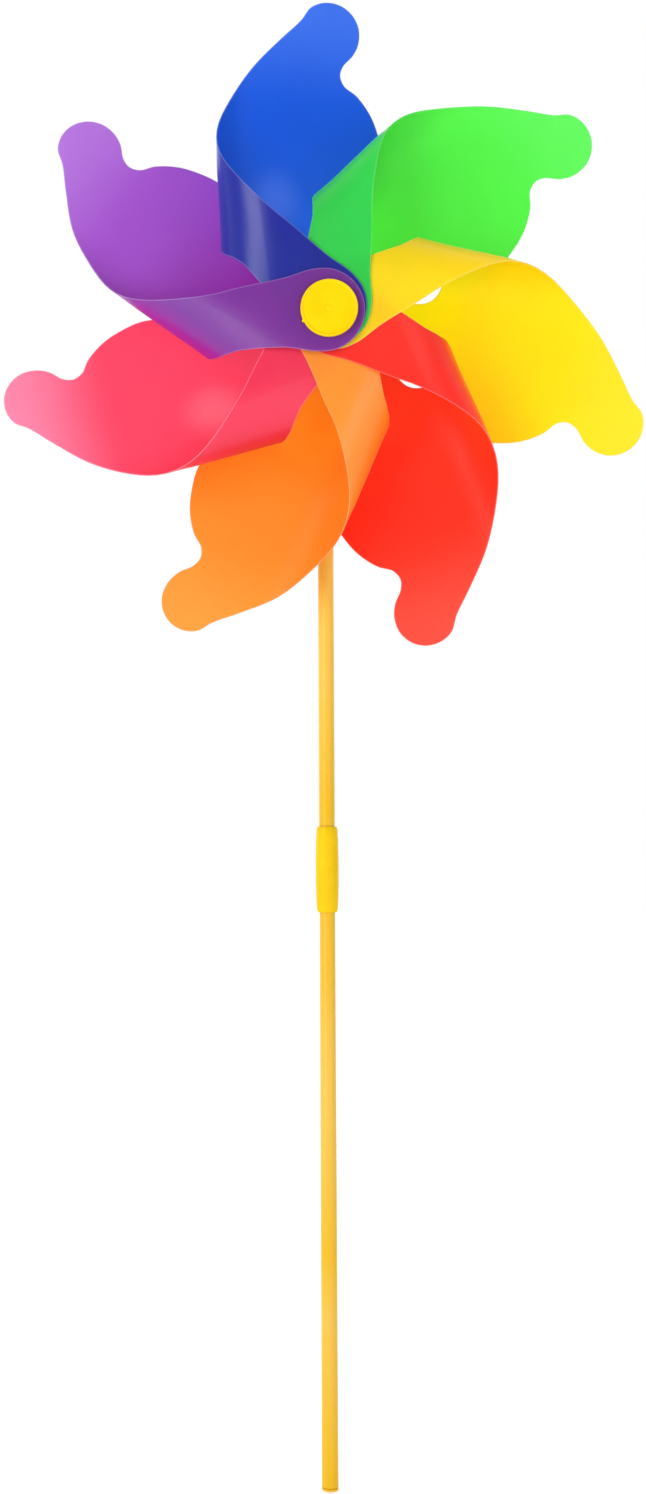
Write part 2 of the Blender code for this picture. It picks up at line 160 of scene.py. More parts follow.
# Where the middle of a rung lies on the wing: outer station, then across from the fold and up
RUNG_MIDDLES = (
    (12.0, -0.030, 0.340),
    (13.0, 0.100, 0.460),
    (14.0, 0.235, 0.640),
    (15.0, 0.310, 0.750),
    (16.0, 0.348, 0.815),
    (17.0, 0.365, 0.845),
    (18.0, 0.371, 0.850),
    (19.0, 0.377, 0.852),
    (20.0, 0.382, 0.850),
    (21.0, 0.386, 0.845),
    (22.0, 0.389, 0.835),
    (23.0, 0.387, 0.808),
    (24.0, 0.380, 0.780),
    (25.0, 0.376, 0.750),
    (26.0, 0.372, 0.720),
    (27.0, 0.372, 0.680),
    (28.0, 0.378, 0.620),
    (29.0, 0.382, 0.550),
    (30.0, 0.382, 0.470),
    (31.0, 0.372, 0.405),
    (32.0, 0.350, 0.350),
    (33.0, 0.333, 0.300),
    (34.0, 0.325, 0.255),
)


def colour_setting(name, description, default):
    """A colour that a user can change."""
    return FloatVectorProperty(
        name=name, description=description, subtype="COLOR", default=default, min=0.0, max=1.0
    )


def length_setting(name, description, default):
    """A length that a user can change."""
    return FloatProperty(name=name, description=description, default=default, unit="LENGTH")


class BladeSettings(PropertyGroup):
    """Sizes and colours of the rolled blades."""

    reach: length_setting("Reach", "From the hub's axis to the tip of a blade", 189 * MM)
    hub_depth: length_setting(
        "Hub depth", "From the front hole of a rolled blade to its rear hole", 54 * MM
    )
    sheet: length_setting("Sheet", "Thickness of the sheet", 0.5 * MM)
    seat_gap: length_setting("Seat gap", "Space between two sheets in the stack", 0.3 * MM)
    hole_radius: length_setting("Hole radius", "Radius of the holes on the hub's spigots", 4.9 * MM)
    wing_lean: FloatProperty(
        name="Wing lean",
        description="How far the wing leans back from the tab",
        default=math.radians(11),
        unit="ROTATION",
    )
    columns: IntProperty(
        name="Columns",
        description="Rungs along the blade's outline",
        default=300,
        min=60,
    )
    rows: IntProperty(
        name="Rows",
        description="Points on one rung from the outer edge to the inner edge",
        default=36,
        min=8,
    )
    violet: colour_setting("Violet", "Colour of the violet sheet", (0.39, 0.10, 0.60))
    blue: colour_setting("Blue", "Colour of the blue sheet", (0.014, 0.115, 0.72))
    green: colour_setting("Green", "Colour of the green sheet", (0.10, 0.83, 0.075))
    yellow: colour_setting("Yellow", "Colour of the yellow sheet", (1.0, 0.72, 0.006))
    red: colour_setting("Red", "Colour of the red sheet", (1.0, 0.035, 0.015))
    orange: colour_setting("Orange", "Colour of the orange sheet", (1.0, 0.27, 0.022))
    pink: colour_setting("Pink", "Colour of the pink sheet", (1.0, 0.075, 0.15))


class PlasticSettings(PropertyGroup):
    """Colours of the moulded and drawn parts."""

    cap: colour_setting("Cap", "Colour of the moulded cap, collar and bead", (0.92, 0.57, 0.002))
    pole: colour_setting("Pole", "Colour of the drawn tubes", (0.75, 0.43, 0.004))
    sleeve: colour_setting("Sleeve", "Colour of the sleeve that joins the tubes", (0.79, 0.51, 0.004))
    segments: IntProperty(
        name="Segments",
        description="Facets round a turned part",
        default=96,
        min=24,
    )


class StageSettings(PropertyGroup):
    """The studio round the object."""

    surround: FloatProperty(
        name="Surround",
        description="Brightness of the white surround behind the wheel as it lights the object",
        default=1.35,
        min=0.0,
    )
    side_light: FloatProperty(
        name="Side light",
        description="Power of the tall soft light on the left; the right one has three tenths of it",
        default=26.0,
        unit="POWER",
    )
    surround_front: FloatProperty(
        name="Surround in front",
        description="Brightness of the white surround in front of the wheel",
        default=0.3,
        min=0.0,
    )
    lens: FloatProperty(
        name="Lens",
        description="Focal length of the camera",
        default=49.15,
        unit="CAMERA",
    )


# Meshes


def through(knots, steps):
    """Points of a closed smooth curve through the knots: centripetal Catmull-Rom, whose three levels
    of linear blends are weighted by the square roots of the chords between knots."""
    p0, p1, p2, p3 = (np.roll(knots, -k, axis=0)[:, None, :] for k in (-1, 0, 1, 2))
    t1 = np.linalg.norm(p1 - p0, axis=2, keepdims=True) ** 0.5
    t2 = t1 + np.linalg.norm(p2 - p1, axis=2, keepdims=True) ** 0.5
    t3 = t2 + np.linalg.norm(p3 - p2, axis=2, keepdims=True) ** 0.5
    t = t1 + (t2 - t1) * (np.arange(steps) / steps)[None, :, None]
    a1 = (t1 - t) / t1 * p0 + t / t1 * p1
    a2 = (t2 - t) / (t2 - t1) * p1 + (t - t1) / (t2 - t1) * p2
    a3 = (t3 - t) / (t3 - t2) * p2 + (t - t2) / (t3 - t2) * p3
    b1 = (t2 - t) / t2 * a1 + t / t2 * a2
    b2 = (t3 - t) / (t3 - t1) * a2 + (t - t1) / (t3 - t1) * a3
    return ((t2 - t) / (t2 - t1) * b1 + (t - t1) / (t2 - t1) * b2).reshape(-1, 2)


def circle_points(centre, radius, degrees):
    """Points on a circle at the given angles: centre plus radius times cosine and sine."""
    angles = np.radians(degrees)
    return np.stack(
        (centre[0] + radius * np.cos(angles), centre[1] + radius * np.sin(angles)), axis=1
    )


def blade_rails(settings, hole_to_fold, rise):
    """The outer and inner rail of the flat blade, each a polyline with its own stations: knot numbers
    along the outline, fractions of a turn round a hole and of the slit's length beside it."""
    shift = np.array((hole_to_fold / settings.reach, 0.0))
    arc = np.linspace
    knots = np.concatenate(
        (
            circle_points(TAB_CENTRE, TAB_RADIUS, arc(*TAB_SPAN, TAB_KNOTS)) - shift,
            np.array(INNER_FRONT) - shift,
            np.array(EYE_ARCH) + rise * np.array(EYE_LIFT)[:, None] * np.array((0.0, 1.0)),
            circle_points((0, 0), REAR_TAB_RADIUS, arc(*REAR_TAB_SPAN, TAB_KNOTS)) + shift,
            np.array(TRAILING_EDGE) + shift,
            circle_points(LOBE_CENTRE, LOBE_RADIUS, arc(*LOBE_SPAN, LOBE_KNOTS)) + shift,
            np.array(LEADING_REAR) + shift,
            np.array(LEADING_FOLD),
            np.array(LEADING_FRONT) - shift,
        )
    )
    knots *= settings.reach
    curve = through(knots, STEPS)
    backwards = np.arange(FRONT_SLIT * STEPS, (REAR_SLIT - len(knots)) * STEPS - 1, -1)
    outer = curve[backwards % len(curve)]
    outer_stations = np.arange(len(outer)) / STEPS
    inner = curve[FRONT_SLIT * STEPS : REAR_SLIT * STEPS + 1]
    turns = np.linspace(0, 1, 73)
    rounds = []
    for hole, knot in ((-hole_to_fold, knots[FRONT_SLIT]), (hole_to_fold, knots[REAR_SLIT])):
        toward = math.degrees(math.atan2(knot[1], knot[0] - hole))
        rounds.append(circle_points((hole, 0.0), settings.hole_radius, toward - 360 * turns))
    inner_rail = np.concatenate((rounds[0], inner, rounds[1]))
    last = 2 + REAR_SLIT - FRONT_SLIT
    inner_stations = np.concatenate(
        (turns, 2 + np.arange(len(inner)) / STEPS, last + 1 + turns)
    )
    return outer, outer_stations, inner_rail, inner_stations, curve


def at_stations(points, stations, wanted):
    """Points of a polyline at wanted stations, blended linearly."""
    return np.stack([np.interp(wanted, stations, points[:, k]) for k in (0, 1)], axis=1)


def turn_share(q):
    """How much of the roll's turn is done at a share q of its length: mostly linear, with a smooth
    start and end, as a springy sheet bends."""
    q = np.clip(q, 0.0, 1.0)
    return ROLL_EASE * q * q * (3 - 2 * q) + (1 - ROLL_EASE) * q


def rolled(settings, hole_to_fold, u, v):
    """Places of the flat blade's points once it is rolled: a flat front arm, a roll with upright
    rulings, and a rear wing whose plane leans back by an angle that grows with height by a smooth
    step. The place is the sum of (cosine, sine of the turn) along the sheet. The length from hole to
    hole along the sheet and the depth at the hub stay the same at every height, which gives two
    linear equations for the roll's start and length."""
    share = np.clip((v / settings.reach - LEAN_FROM) / (LEAN_TO - LEAN_FROM), 0.0, 1.0)
    lean = settings.wing_lean * share * share * (3 - 2 * share)
    total = (np.pi - lean)[:, None]
    middles = (np.arange(ROLL_SAMPLES) + 0.5) / ROLL_SAMPLES
    sweep = total * turn_share(middles)[None, :]
    deep, across = np.sin(sweep).mean(1), np.cos(sweep).mean(1)
    sine, cosine = np.sin(lean), np.cos(lean)
    whole = 2 * hole_to_fold
    right = settings.hub_depth - whole * sine
    scale = (1 + cosine) * (deep - sine) + sine * (across + cosine)
    start = (whole * cosine * (deep - sine) - (across + cosine) * right) / scale
    length = ((1 + cosine) * right + sine * whole * cosine) / scale
    along = u + hole_to_fold
    rolled_share = np.clip((along - start) / length, 0.0, 1.0)
    sweep = total * turn_share(rolled_share[:, None] * middles[None, :])
    rest = np.maximum(along - start - length, 0.0)
    ahead = np.minimum(along, start)
    stretch = rolled_share * length
    x = -ahead - stretch * np.cos(sweep).mean(1) + rest * cosine
    depth = stretch * np.sin(sweep).mean(1) + rest * sine
    return np.stack((x, depth, v), axis=1)


def edge_distances(points, curve):
    """How far flat points lie from the outline, in metres: the least distance to its segments."""
    start = curve
    step = np.roll(curve, -1, axis=0) - start
    away = points[:, None, :] - start[None, :, :]
    share = np.clip((away * step).sum(2) / (step * step).sum(1), 0.0, 1.0)
    return np.linalg.norm(away - share[:, :, None] * step, axis=2).min(1)


def blade_grid(settings, rise, fold_change):
    """The flat blade as rungs between its outer and inner rail: point = outer + share x (inner -
    outer) + bow x (1 - |2 share - 1|), where the rung's place and the share are the two parameters
    and the bow pulls a rung's middle into the wing. The rungs on the slit beside each hole end on
    the first and the last rung's own points, so the ring closes. The arch behind the arm rises by
    rise x reach, and the fold lies fold_change x reach further out."""
    roll_radius = settings.hub_depth / 2
    fold = (FOLD_REACH + fold_change) * settings.reach
    hole_to_fold = fold - roll_radius + roll_radius * math.pi / 2
    outer, outer_stations, inner, inner_stations, curve = blade_rails(settings, hole_to_fold, rise)
    share = np.linspace(0, 1, settings.rows)
    share = np.sort(np.concatenate((share, EDGE_SHARES)))[:, None]
    marks = np.array(RUNGS)
    out_marks, in_marks = marks[:, 0], marks[:, 1]
    columns = np.linspace(0, out_marks[-1], settings.columns)
    in_columns = np.interp(columns, out_marks, in_marks)
    last = 2 + REAR_SLIT - FRONT_SLIT
    plain = (in_columns < 1) | ((in_columns > 2) & (in_columns < last)) | (in_columns > last + 1)
    front_slit = 2 - share[:, 0]
    rear_slit = last + share[:, 0]
    in_columns = np.sort(np.concatenate((in_columns[plain], front_slit, rear_slit)))
    columns = np.interp(in_columns, in_marks, out_marks)
    a = at_stations(outer, outer_stations, columns)[:, None, :]
    b = at_stations(inner, inner_stations, in_columns)[:, None, :]
    table = np.array(RUNG_MIDDLES)
    table_in = np.interp(table[:, 0], out_marks, in_marks)
    straight = (
        at_stations(outer, outer_stations, table[:, 0])
        + at_stations(inner, inner_stations, table_in)
    ) / 2
    pull = np.concatenate((((0, 0),), table[:, 1:] * settings.reach - straight, ((0, 0),)))
    pull_at = np.concatenate((BOW_SPAN[:1], table[:, 0], BOW_SPAN[1:]))
    bow = at_stations(pull, pull_at, columns)[:, None, :]
    flat = (a + share * (b - a) + bow * (1 - np.abs(2 * share - 1))).reshape(-1, 2)
    return flat, len(columns), len(share), hole_to_fold, curve


def grid_faces(columns, rows):
    """Corner numbers of the quads of a grid whose points are stored column by column."""
    number = np.arange(columns * rows).reshape(columns, rows)
    return np.stack(
        (number[:-1, :-1], number[1:, :-1], number[1:, 1:], number[:-1, 1:]), axis=2
    ).reshape(-1, 4)


def quad_mesh(name, points, faces):
    """A smooth mesh from arrays of points and quads. Points at one place become one, and quads with
    fewer than four corners left lose the repeated one."""
    keys = np.round(points / (0.002 * MM)).astype(np.int64)
    first, which = np.unique(keys, axis=0, return_index=True, return_inverse=True)[1:]
    faces = which.reshape(-1)[faces]
    keep = faces != np.roll(faces, -1, axis=1)
    sizes = keep.sum(1)
    faces, keep, sizes = faces[sizes > 2], keep[sizes > 2], sizes[sizes > 2]
    mesh = bpy.data.meshes.new(name)
    mesh.vertices.add(len(first))
    mesh.vertices.foreach_set("co", points[first].astype(np.float32).ravel())
    mesh.loops.add(int(sizes.sum()))
    mesh.loops.foreach_set("vertex_index", faces[keep].astype(np.int32))
    mesh.polygons.add(len(sizes))
    starts = np.concatenate(((0,), np.cumsum(sizes)[:-1])).astype(np.int32)
    mesh.polygons.foreach_set("loop_start", starts)
    mesh.update(calc_edges=True)
    mesh.validate()
    mesh.shade_smooth()
    return mesh, first


def turned_mesh(name, profile, segments, centre, axis):
    """A turned body: each profile point (radius, height) is carried round the axis, so that a point is
    centre + height x axis + radius x (cosine, sine of the turn). A profile that ends on the axis
    closes there, and one that ends where it starts makes a ring."""
    radius, height = np.array(profile, dtype=float).T
    turn = np.linspace(0, 2 * np.pi, segments + 1)
    along = np.array(axis, dtype=float)
    side = np.array((1.0, 0.0, 0.0)) if abs(along[0]) < 0.5 else np.array((0.0, 1.0, 0.0))
    other = np.cross(along, side)
    spoke = np.cos(turn)[:, None] * side + np.sin(turn)[:, None] * other
    points = (
        np.array(centre)
        + radius[None, :, None] * spoke[:, None, :]
        + height[None, :, None] * along
    ).reshape(-1, 3)
    mesh, _ = quad_mesh(name, points, grid_faces(segments + 1, len(radius)))
    bm = bmesh.new()
    bm.from_mesh(mesh)
    bmesh.ops.recalc_face_normals(bm, faces=bm.faces)
    bm.to_mesh(mesh)
    bm.free()
    mesh.shade_smooth()
    mesh.set_sharp_from_angle(angle=math.radians(SHARP_ANGLE))
    return mesh


def rounded(corners, radius, steps=4):
    """A profile through the corners with each inner corner rounded: a quadratic curve from a point
    before the corner to a point after it, at most radius away."""
    corners = np.array(corners, dtype=float)
    before, here, after = corners[:-2], corners[1:-1], corners[2:]
    back = before - here
    ahead = after - here
    back_length = np.linalg.norm(back, axis=1, keepdims=True)
    ahead_length = np.linalg.norm(ahead, axis=1, keepdims=True)
    reach = np.minimum(radius, np.minimum(back_length, ahead_length) * 0.45)
    start = here + back / back_length * reach
    end = here + ahead / ahead_length * reach
    t = np.linspace(0, 1, steps + 1)[None, :, None]
    bends = (
        (1 - t) ** 2 * start[:, None] + 2 * t * (1 - t) * here[:, None] + t**2 * end[:, None]
    ).reshape(-1, 2)
    return np.concatenate((corners[:1], bends, corners[-1:]))


def add_piece(name, mesh, materials, body, nodes):
    """Links a finished piece, seats it on its CAD body and hides the CAD nodes it stands for."""
    piece = bpy.data.objects.new(name, mesh)
    bpy.context.scene.collection.objects.link(piece)
    for material in materials:
        mesh.materials.append(material)
    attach(piece, body)
    if nodes:
        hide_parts(*nodes)
    return piece


# Materials


def wire(tree, kind, values=None, **settings):
    """Adds a shader node, with its settings, its values and the links that lead to it."""
    node = tree.nodes.new(kind)
    for name, value in settings.items():
        setattr(node, name, value)
    for name, value in (values or {}).items():
        socket = node.inputs[name]
        if isinstance(value, bpy.types.NodeSocket):
            tree.links.new(value, socket)
        else:
            socket.default_value = value
    return node


def empty_material(name):
    """A material with only its output node."""
    material = bpy.data.materials.new(name)
    material.use_nodes = True
    tree = material.node_tree
    tree.nodes.clear()
    return material, tree, wire(tree, "ShaderNodeOutputMaterial")


def blend(tree, share, first, second):
    """The colour between two colours."""
    node = wire(tree, "ShaderNodeMix", data_type="RGBA")
    sockets = (node.inputs[number] for number in (0, 6, 7))
    for socket, value in zip(sockets, (share, first, second)):
        if isinstance(value, bpy.types.NodeSocket):
            tree.links.new(value, socket)
        else:
            socket.default_value = value
    return node.outputs[2]


def remap(tree, value, low, high, to_low=0.0, to_high=1.0, smooth=True):
    """A value carried from one range to another."""
    node = wire(
        tree,
        "ShaderNodeMapRange",
        {"Value": value, "From Min": low, "From Max": high, "To Min": to_low, "To Max": to_high},
        interpolation_type="SMOOTHSTEP" if smooth else "LINEAR",
    )
    return node.outputs[0]


def noise(tree, place, scale, detail):
    """The value of a noise texture."""
    return wire(
        tree, "ShaderNodeTexNoise", {"Vector": place, "Scale": scale, "Detail": detail}
    ).outputs["Fac"]


def product(tree, first, second):
    """Two values multiplied."""
    return wire(tree, "ShaderNodeMath", {0: first, 1: second}, operation="MULTIPLY").outputs[0]


def relief_of(tree, height, strength, distance):
    """The normal of a face with a fine relief."""
    return wire(
        tree, "ShaderNodeBump", {"Height": height, "Strength": strength, "Distance": distance}
    ).outputs[0]


def opaque(tree, material, output, base, rough, normal, extra, amount):
    """Closes an opaque material with its colour, roughness and relief and one value more."""
    values = {"Base Color": base, "Roughness": rough, "Normal": normal, extra: amount}
    shader = wire(tree, "ShaderNodeBsdfPrincipled", values)
    tree.links.new(shader.outputs[0], output.inputs[0])
    return material


def tint(colour, share):
    """A colour moved towards white, or towards a deeper tone where the share is below zero."""
    if share >= 0:
        return (*(c + (1 - c) * share for c in colour), 1.0)
    return (*(c * (1 + share) for c in colour), 1.0)


# Tones of each sheet: its front arm, its roll, the wing beside the hub and the tip. The arm, roll and
# hub tones paint light and shade: a darker tone is painted shade, a lighter one painted light, and the
# roll's brighter tone a painted glow of light coming through.
SHEET_TONES = {
    "violet": ((0.24, 0.035, 0.40), (0.50, 0.015, 0.42), (0.33, 0.02, 0.42), (0.48, 0.20, 0.70)),
    "blue": ((0.012, 0.022, 0.38), (0.012, 0.03, 0.40), (0.04, 0.21, 1.0), (0.06, 0.19, 0.80)),
    "green": ((0.035, 0.72, 0.10), (0.05, 0.75, 0.06), (0.12, 1.0, 0.07), (0.14, 0.86, 0.13)),
    "yellow": ((1.0, 0.79, 0.005), (1.0, 0.70, 0.005), (1.0, 0.92, 0.004), (1.0, 0.75, 0.03)),
    "red": ((1.0, 0.035, 0.02), (1.0, 0.08, 0.01), (1.0, 0.06, 0.02), (1.0, 0.09, 0.06)),
    "orange": ((1.0, 0.40, 0.035), (1.0, 0.30, 0.02), (1.0, 0.33, 0.015), (1.0, 0.36, 0.05)),
    "pink": ((0.86, 0.04, 0.12), (0.80, 0.025, 0.04), (1.0, 0.085, 0.17), (1.0, 0.26, 0.42)),
}

# Tones of the painted highlight, a soft pale patch on the wing behind the arm, on the sheets that have
# one
SHEET_HIGHLIGHTS = {"blue": (0.10, 0.27, 0.98), "pink": (1.0, 0.21, 0.30)}
HIGHLIGHT_SHIFT = (-2.35, -3.2, 0.0)  # moves the patch's centre to the origin, after the scaling
HIGHLIGHT_SCALE = (10.0, 8.3, 0.0)  # turns the patch into a circle of radius one
HIGHLIGHT_STRENGTH = 0.75
THROUGH_SHARE = 0.5  # share of the light that comes through a sheet
FACE_MIRROR = 0.034  # share that the gloss mirrors seen square on
EDGE_MIRROR = 0.8  # share that the gloss mirrors at a grazing angle
WING_GLOSS = 0.15  # gloss on the wing's side of the fold, as a share of the arm's
SHEET_GRAIN = 320.0  # cells of the embossed grain along the blade's reach


def sheet_material(name, colour, tones, highlight_tone):
    """Coloured translucent sheet: part of the light is scattered back and the rest comes through,
    under a satin gloss. Light passes two faces of the sheet, so each of them takes the root of the
    colour. The tone changes from the front arm over the roll to the wing beside the hub and to the
    tip; the arm, roll and hub tones are painted light and shade, and some sheets carry a painted
    highlight on the wing behind the arm. Cut edges are whitened, and the face has a fine embossed
    grain."""
    arm_shading, roll, deep, pale = tones
    material, tree, output = empty_material(name)
    flat = wire(tree, "ShaderNodeUVMap", uv_map="flat").outputs[0]
    cut = wire(tree, "ShaderNodeAttribute", attribute_name="edge_mm").outputs["Fac"]
    parts = wire(tree, "ShaderNodeSeparateXYZ", {"Vector": flat})
    cloud = noise(tree, flat, 5.0, 3.0)
    grain = noise(tree, flat, SHEET_GRAIN, 2.0)
    across, up = parts.outputs["X"], parts.outputs["Y"]
    # Painted light and shade on the wing beside the hub, fading into the sheet's colour further up
    base = blend(tree, remap(tree, up, 0.15, 0.62), (*deep, 1.0), (*colour, 1.0))
    base = blend(tree, remap(tree, up, 0.66, 0.98), base, (*pale, 1.0))
    # Painted light and shade on the front arm: a darker tone is painted shade, a lighter one a painted
    # highlight
    base = blend(tree, remap(tree, across, -0.08, 0.02, 1.0, 0.0), base, (*arm_shading, 1.0))
    # Painted glow of light coming through the roll, low on the blade; where the roll's tone is darker
    # it is painted shade
    from_fold = wire(tree, "ShaderNodeMath", {0: across}, operation="ABSOLUTE").outputs[0]
    at_roll = remap(tree, from_fold, 0.0, 0.13, 1.0, 0.0)
    low = remap(tree, up, 0.35, 0.6, 1.0, 0.0)
    glow = product(tree, at_roll, low)
    base = blend(tree, glow, base, (*roll, 1.0))
    # Painted highlight: a soft pale patch on the wing behind the arm
    if highlight_tone:
        from_highlight = wire(
            tree,
            "ShaderNodeMapping",
            {"Vector": flat, "Location": HIGHLIGHT_SHIFT, "Scale": HIGHLIGHT_SCALE},
        ).outputs[0]
        away = wire(tree, "ShaderNodeVectorMath", {0: from_highlight}, operation="LENGTH")
        painted_highlight = remap(tree, away.outputs["Value"], 0.1, 1.1, HIGHLIGHT_STRENGTH, 0.0)
        base = blend(tree, painted_highlight, base, (*highlight_tone, 1.0))
    mottle = remap(tree, cloud, 0.3, 0.7)
    base = blend(tree, mottle, base, blend(tree, 0.10, base, tint(colour, -0.3)))
    rim = remap(tree, cut, 0.1, 0.6, 0.4, 0.0)
    base = blend(tree, rim, base, tint(pale, 0.3))
    bump = relief_of(tree, grain, 0.22, 0.00012)
    rough = remap(tree, cloud, 0.25, 0.75, 0.30, 0.36)
    face = wire(
        tree,
        "ShaderNodeBsdfPrincipled",
        {"Base Color": base, "Roughness": rough, "Normal": bump, "Specular IOR Level": 0.0},
    ).outputs[0]
    one_face = wire(tree, "ShaderNodeGamma", {"Color": base, "Gamma": 0.5})
    through_sheet = wire(
        tree,
        "ShaderNodeBsdfTranslucent",
        {"Color": one_face.outputs[0], "Normal": bump},
    ).outputs[0]
    mixed = wire(tree, "ShaderNodeMixShader", {0: THROUGH_SHARE, 1: face, 2: through_sheet})
    gloss = wire(
        tree,
        "ShaderNodeBsdfAnisotropic",
        {"Color": (1, 1, 1, 1), "Roughness": rough, "Normal": bump},
    ).outputs[0]
    sloped = wire(tree, "ShaderNodeLayerWeight", {"Normal": bump}).outputs["Facing"]
    steep = wire(tree, "ShaderNodeMath", {0: sloped, 1: 5.0}, operation="POWER").outputs[0]
    mirror = remap(tree, steep, 0.0, 1.0, FACE_MIRROR, EDGE_MIRROR, smooth=False)
    from_inside = wire(tree, "ShaderNodeNewGeometry").outputs["Backfacing"]
    outside = remap(tree, from_inside, 0.0, 1.0, 1.0, 0.0, smooth=False)
    satin = remap(tree, across, -0.06, 0.04, 1.0, WING_GLOSS)
    mirror = product(tree, product(tree, mirror, outside), satin)
    coated = wire(tree, "ShaderNodeMixShader", {0: mirror, 1: mixed.outputs[0], 2: gloss})
    tree.links.new(coated.outputs[0], output.inputs[0])
    return material


MOULDED_SHINE = 0.07  # level of the mirrored light on moulded plastic, where 0.5 is glassy
TUBE_SHINE = 0.15  # the same on the drawn tubes


def moulded_material(name, colour, rough=0.3):
    """Injection-moulded plastic: a slightly cloudy colour and gloss, and a fine satin texture."""
    material, tree, output = empty_material(name)
    place = wire(tree, "ShaderNodeTexCoord").outputs["Object"]
    cloud = noise(tree, place, 60.0, 4.0)
    grain = noise(tree, place, 2600.0, 2.0)
    base = blend(tree, remap(tree, cloud, 0.3, 0.7), tint(colour, -0.08), (*colour, 1.0))
    relief = relief_of(tree, grain, 0.12, 0.00005)
    gloss = remap(tree, cloud, 0.3, 0.7, rough - 0.04, rough + 0.06)
    return opaque(tree, material, output, base, gloss, relief, "Specular IOR Level", MOULDED_SHINE)


# Height up the pole and how pale the tube's colour is painted there
TUBE_TOP = 0.66
TUBE_PALENESS = (
    (0, 0.05),
    (0.097, 0.1),
    (0.136, 0.2),
    (0.174, 0.75),
    (0.213, 1.0),
    (0.252, 0.9),
    (0.29, 0.5),
    (0.329, 0.4),
    (0.396, 0.15),
    (0.423, 0.45),
    (0.47, 0.95),
    (TUBE_TOP, 1.0),
)


def tube_material(name, colour):
    """Drawn tube: gloss and colour streaked lengthwise, with fine draw lines, and paler at some
    heights than at others."""
    material, tree, output = empty_material(name)
    place = wire(tree, "ShaderNodeTexCoord").outputs["Object"]
    streaked = wire(
        tree, "ShaderNodeMapping", {"Vector": place, "Scale": (1.0, 1.0, 0.012)}
    ).outputs[0]
    lines = noise(tree, streaked, 900.0, 3.0)
    broad = noise(tree, streaked, 160.0, 2.0)
    cloud = noise(tree, place, 9.0, 2.0)
    base = blend(tree, remap(tree, broad, 0.3, 0.7), tint(colour, -0.09), (*colour, 1.0))
    height = wire(tree, "ShaderNodeSeparateXYZ", {"Vector": place}).outputs["Z"]
    level = remap(tree, height, 0.0, TUBE_TOP, smooth=False)
    paleness_ramp = wire(tree, "ShaderNodeValToRGB", {"Fac": level})
    ramp = paleness_ramp.color_ramp.elements
    for at, share in TUBE_PALENESS:
        mark = ramp[0] if at == 0 else ramp[1] if at == TUBE_TOP else ramp.new(at / TUBE_TOP)
        mark.color = (share, share, share, 1.0)
    patchy = remap(tree, cloud, 0.35, 0.65, 0.75, 1.0)
    pale = product(tree, paleness_ramp.outputs["Color"], patchy)
    base = blend(tree, pale, base, tint(colour, 0.07))
    relief = relief_of(tree, lines, 0.1, 0.00005)
    gloss = remap(tree, lines, 0.3, 0.7, 0.2, 0.28)
    return opaque(tree, material, output, base, gloss, relief, "Specular IOR Level", TUBE_SHINE)


def steel_material(name):
    """Turned steel: rings of finer and coarser polish."""
    material, tree, output = empty_material(name)
    place = wire(tree, "ShaderNodeTexCoord").outputs["Object"]
    rings = noise(tree, place, 900.0, 3.0)
    base = blend(tree, rings, (0.5, 0.5, 0.49, 1.0), (0.72, 0.72, 0.7, 1.0))
    gloss = remap(tree, rings, 0.3, 0.7, 0.22, 0.36)
    relief = relief_of(tree, rings, 0.15, 0.00003)
    return opaque(tree, material, output, base, gloss, relief, "Metallic", 1.0)


MADE = {}  # this script's own materials, by the slot they finish


def made_once(name, make, *facts):
    """A material by its name, made the first time it is asked for."""
    if name not in MADE:
        MADE[name] = make(f"{name}_finish", *facts)
    return MADE[name]


def cap_plastic():
    return made_once("cap_plastic", moulded_material, tuple(bpy.context.scene.spinner_plastic.cap))


def sleeve_plastic():
    colour = tuple(bpy.context.scene.spinner_plastic.sleeve)
    return made_once("sleeve_plastic", moulded_material, colour, 0.27)


def pole_plastic():
    return made_once("pole_plastic", tube_material, tuple(bpy.context.scene.spinner_plastic.pole))


def axle_steel():
    return made_once("axle_steel", steel_material)


def washer_nylon():
    return made_once("washer_nylon", moulded_material, (0.8, 0.8, 0.76), 0.4)


# Operators


